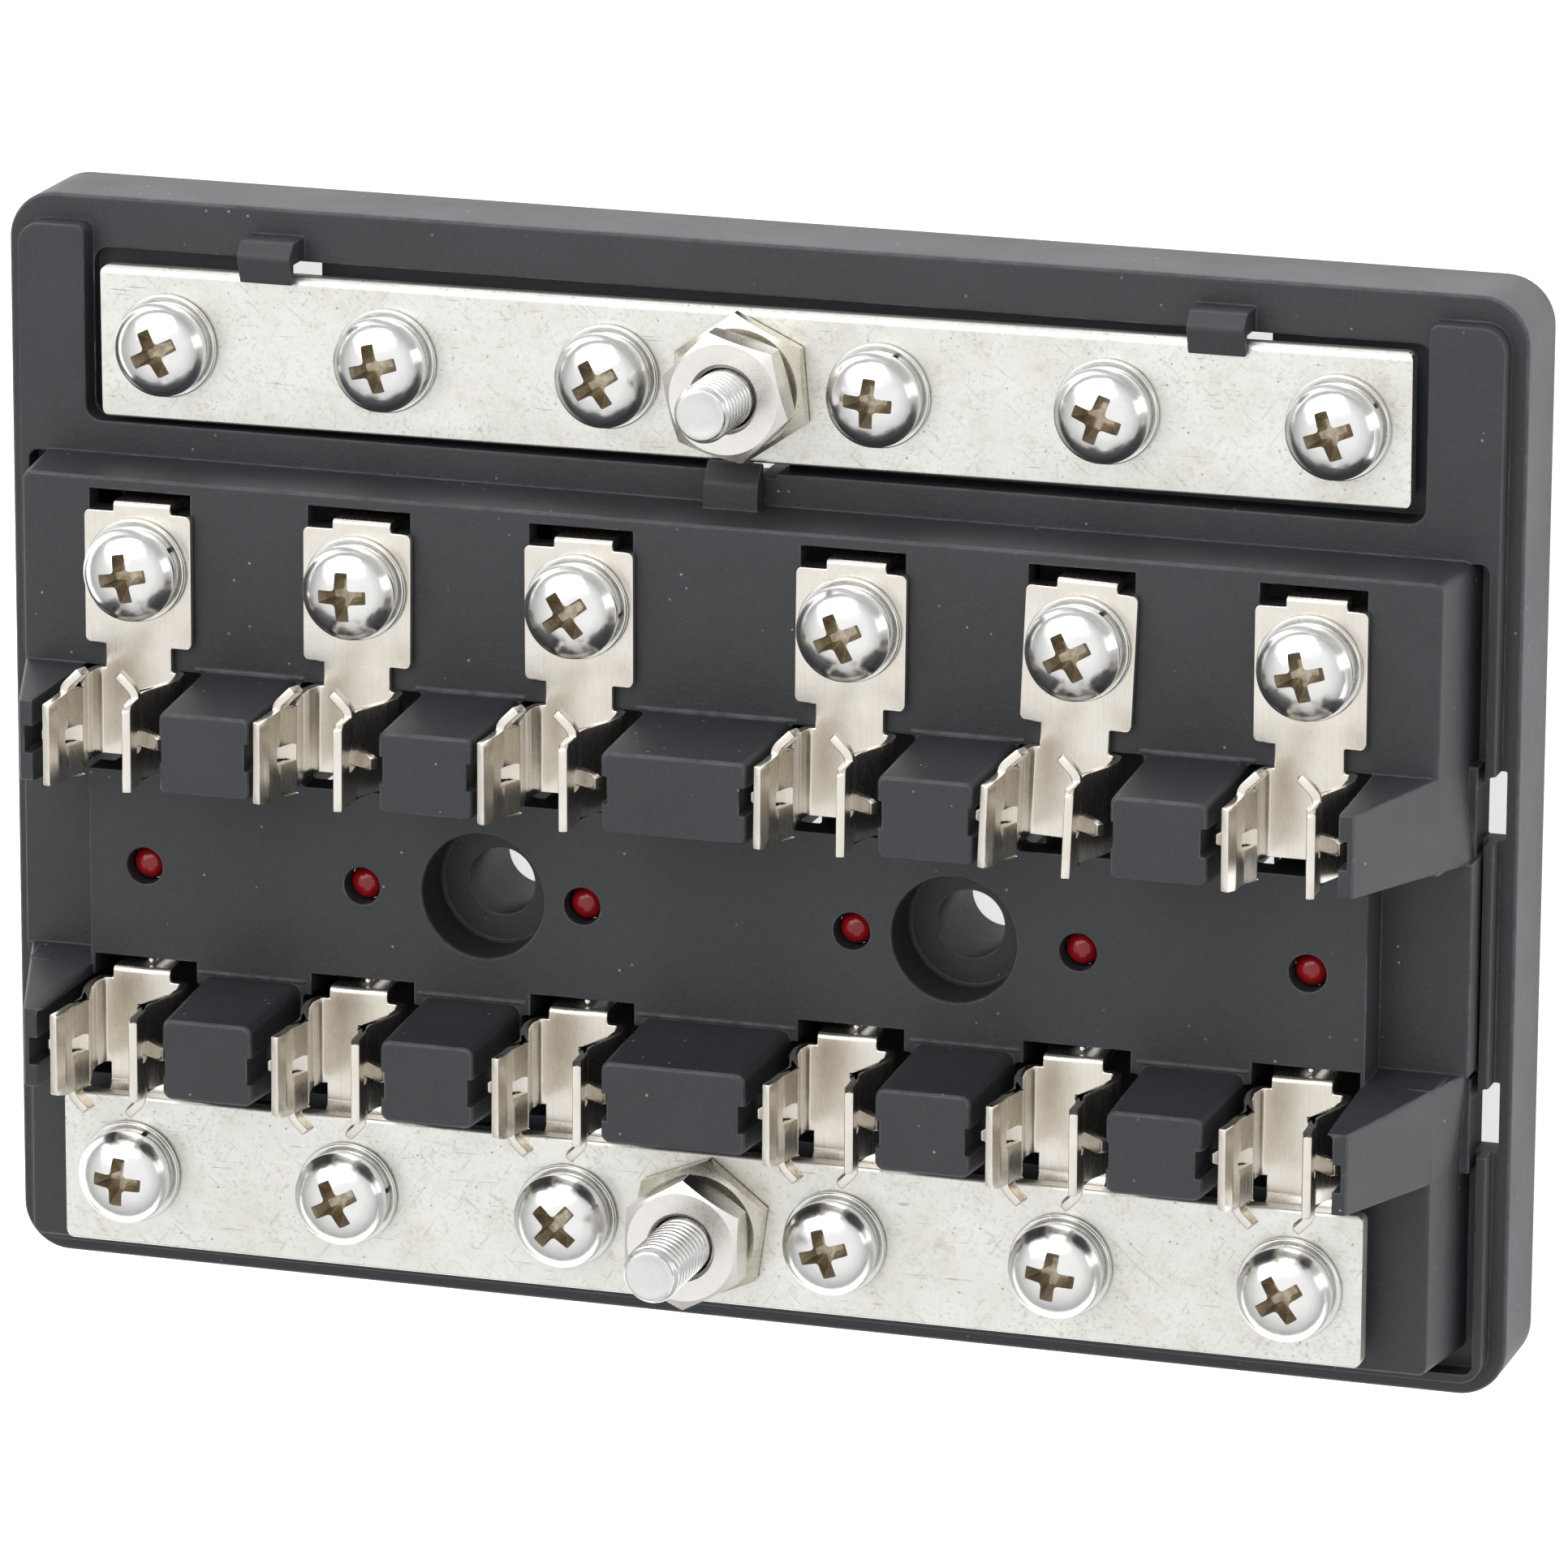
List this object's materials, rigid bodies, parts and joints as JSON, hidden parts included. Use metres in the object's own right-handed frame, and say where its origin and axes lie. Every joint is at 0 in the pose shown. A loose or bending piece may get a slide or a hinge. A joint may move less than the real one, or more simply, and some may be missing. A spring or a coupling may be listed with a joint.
{
  "type": "glass fuse block",
  "caption": "Open fuse block for glass tube fuses: moulded base, spring clips, screw terminals, two bus bars with studs and blown-fuse lamps.",
  "frame": {"origin": "middle of the base's back outline, on the plane that it lies on", "axes": "+Z out of the front, +X along the bars, +Y towards the plain upper bar"},
  "size_m": [0.1288, 0.0914, 0.0353],
  "materials": {
    "plastic": "charcoal moulded plastic with a satin, finely grained surface",
    "nickel": "satin nickel plate with fine specks and handling marks",
    "clip": "warm nickel-plated spring strip",
    "steel": "bright zinc plate, polished on the heads",
    "nut": "pale nickel plate",
    "lamp": "clear deep red",
    "resistor": "tan lacquer"
  },
  "bodies": {
    "block": {"base_1": "plastic", "base_2": "plastic", "base_3": "plastic", "base_4": "plastic", "base_5": "plastic", "base_6": "plastic", "base_7": "plastic", "upper_bus_bar": "nickel", "lower_bus_bar": "nickel", "terminal_clip_1": "clip", "bus_clip_1": "clip", "lamp_1": "lamp", "resistor_1": "resistor", "terminal_clip_2": "clip", "bus_clip_2": "clip", "lamp_2": "lamp", "resistor_2": "resistor", "terminal_clip_3": "clip", "bus_clip_3": "clip", "lamp_3": "lamp", "resistor_3": "resistor", "terminal_clip_4": "clip", "bus_clip_4": "clip", "lamp_4": "lamp", "resistor_4": "resistor", "terminal_clip_5": "clip", "bus_clip_5": "clip", "lamp_5": "lamp", "resistor_5": "resistor", "terminal_clip_6": "clip", "bus_clip_6": "clip", "lamp_6": "lamp", "resistor_6": "resistor", "stud_upper": "nut", "stud_base_nut_upper": "nut", "stud_lock_washer_upper": "steel", "stud_lower": "nut", "stud_base_nut_lower": "nut", "stud_lock_washer_lower": "steel"},
    "upper_bar_screw_1": {"upper_bar_screw_1": "steel"},
    "upper_bar_screw_2": {"upper_bar_screw_2": "steel"},
    "upper_bar_screw_3": {"upper_bar_screw_3": "steel"},
    "upper_bar_screw_4": {"upper_bar_screw_4": "steel"},
    "upper_bar_screw_5": {"upper_bar_screw_5": "steel"},
    "upper_bar_screw_6": {"upper_bar_screw_6": "steel"},
    "terminal_screw_1": {"terminal_screw_1": "steel"},
    "terminal_screw_2": {"terminal_screw_2": "steel"},
    "terminal_screw_3": {"terminal_screw_3": "steel"},
    "terminal_screw_4": {"terminal_screw_4": "steel"},
    "terminal_screw_5": {"terminal_screw_5": "steel"},
    "terminal_screw_6": {"terminal_screw_6": "steel"},
    "lower_bar_screw_1": {"lower_bar_screw_1": "steel"},
    "lower_bar_screw_2": {"lower_bar_screw_2": "steel"},
    "lower_bar_screw_3": {"lower_bar_screw_3": "steel"},
    "lower_bar_screw_4": {"lower_bar_screw_4": "steel"},
    "lower_bar_screw_5": {"lower_bar_screw_5": "steel"},
    "lower_bar_screw_6": {"lower_bar_screw_6": "steel"},
    "stud_nut_upper": {"stud_nut_upper": "nut"},
    "stud_nut_lower": {"stud_nut_lower": "nut"}
  },
  "joints": [
    {"name": "upper_bar_screw_1_turn", "type": "hinge", "parent": "block", "child": "upper_bar_screw_1", "pos_m": [-0.0496, 0.03408, 0.01135], "axis": [0, 0, 1], "continuous": true},
    {"name": "upper_bar_screw_2_turn", "type": "hinge", "parent": "block", "child": "upper_bar_screw_2", "pos_m": [-0.03055, 0.0342, 0.01135], "axis": [0, 0, 1], "continuous": true},
    {"name": "upper_bar_screw_3_turn", "type": "hinge", "parent": "block", "child": "upper_bar_screw_3", "pos_m": [-0.0115, 0.03433, 0.01135], "axis": [0, 0, 1], "continuous": true},
    {"name": "upper_bar_screw_4_turn", "type": "hinge", "parent": "block", "child": "upper_bar_screw_4", "pos_m": [0.0115, 0.03447, 0.01135], "axis": [0, 0, 1], "continuous": true},
    {"name": "upper_bar_screw_5_turn", "type": "hinge", "parent": "block", "child": "upper_bar_screw_5", "pos_m": [0.03055, 0.0346, 0.01135], "axis": [0, 0, 1], "continuous": true},
    {"name": "upper_bar_screw_6_turn", "type": "hinge", "parent": "block", "child": "upper_bar_screw_6", "pos_m": [0.0496, 0.03472, 0.01135], "axis": [0, 0, 1], "continuous": true},
    {"name": "terminal_screw_1_turn", "type": "hinge", "parent": "block", "child": "terminal_screw_1", "pos_m": [-0.0496, 0.01692, 0.019], "axis": [0, 0, 1], "continuous": true},
    {"name": "terminal_screw_2_turn", "type": "hinge", "parent": "block", "child": "terminal_screw_2", "pos_m": [-0.03055, 0.01692, 0.019], "axis": [0, 0, 1], "continuous": true},
    {"name": "terminal_screw_3_turn", "type": "hinge", "parent": "block", "child": "terminal_screw_3", "pos_m": [-0.0115, 0.01692, 0.019], "axis": [0, 0, 1], "continuous": true},
    {"name": "terminal_screw_4_turn", "type": "hinge", "parent": "block", "child": "terminal_screw_4", "pos_m": [0.0115, 0.01692, 0.019], "axis": [0, 0, 1], "continuous": true},
    {"name": "terminal_screw_5_turn", "type": "hinge", "parent": "block", "child": "terminal_screw_5", "pos_m": [0.03055, 0.01692, 0.019], "axis": [0, 0, 1], "continuous": true},
    {"name": "terminal_screw_6_turn", "type": "hinge", "parent": "block", "child": "terminal_screw_6", "pos_m": [0.0496, 0.01692, 0.019], "axis": [0, 0, 1], "continuous": true},
    {"name": "lower_bar_screw_1_turn", "type": "hinge", "parent": "block", "child": "lower_bar_screw_1", "pos_m": [-0.0496, -0.03375, 0.02181], "axis": [0, 0, 1], "continuous": true},
    {"name": "lower_bar_screw_2_turn", "type": "hinge", "parent": "block", "child": "lower_bar_screw_2", "pos_m": [-0.03055, -0.03375, 0.02181], "axis": [0, 0, 1], "continuous": true},
    {"name": "lower_bar_screw_3_turn", "type": "hinge", "parent": "block", "child": "lower_bar_screw_3", "pos_m": [-0.0115, -0.03375, 0.02181], "axis": [0, 0, 1], "continuous": true},
    {"name": "lower_bar_screw_4_turn", "type": "hinge", "parent": "block", "child": "lower_bar_screw_4", "pos_m": [0.0115, -0.03375, 0.02181], "axis": [0, 0, 1], "continuous": true},
    {"name": "lower_bar_screw_5_turn", "type": "hinge", "parent": "block", "child": "lower_bar_screw_5", "pos_m": [0.03055, -0.03375, 0.02181], "axis": [0, 0, 1], "continuous": true},
    {"name": "lower_bar_screw_6_turn", "type": "hinge", "parent": "block", "child": "lower_bar_screw_6", "pos_m": [0.0496, -0.03375, 0.02181], "axis": [0, 0, 1], "continuous": true},
    {"name": "stud_nut_upper_turn", "type": "hinge", "parent": "block", "child": "stud_nut_upper", "pos_m": [0, 0.0344, 0.0137], "axis": [0, 0, 1], "continuous": true},
    {"name": "stud_nut_lower_turn", "type": "hinge", "parent": "block", "child": "stud_nut_lower", "pos_m": [0, -0.03375, 0.02416], "axis": [0, 0, 1], "continuous": true}
  ]
}
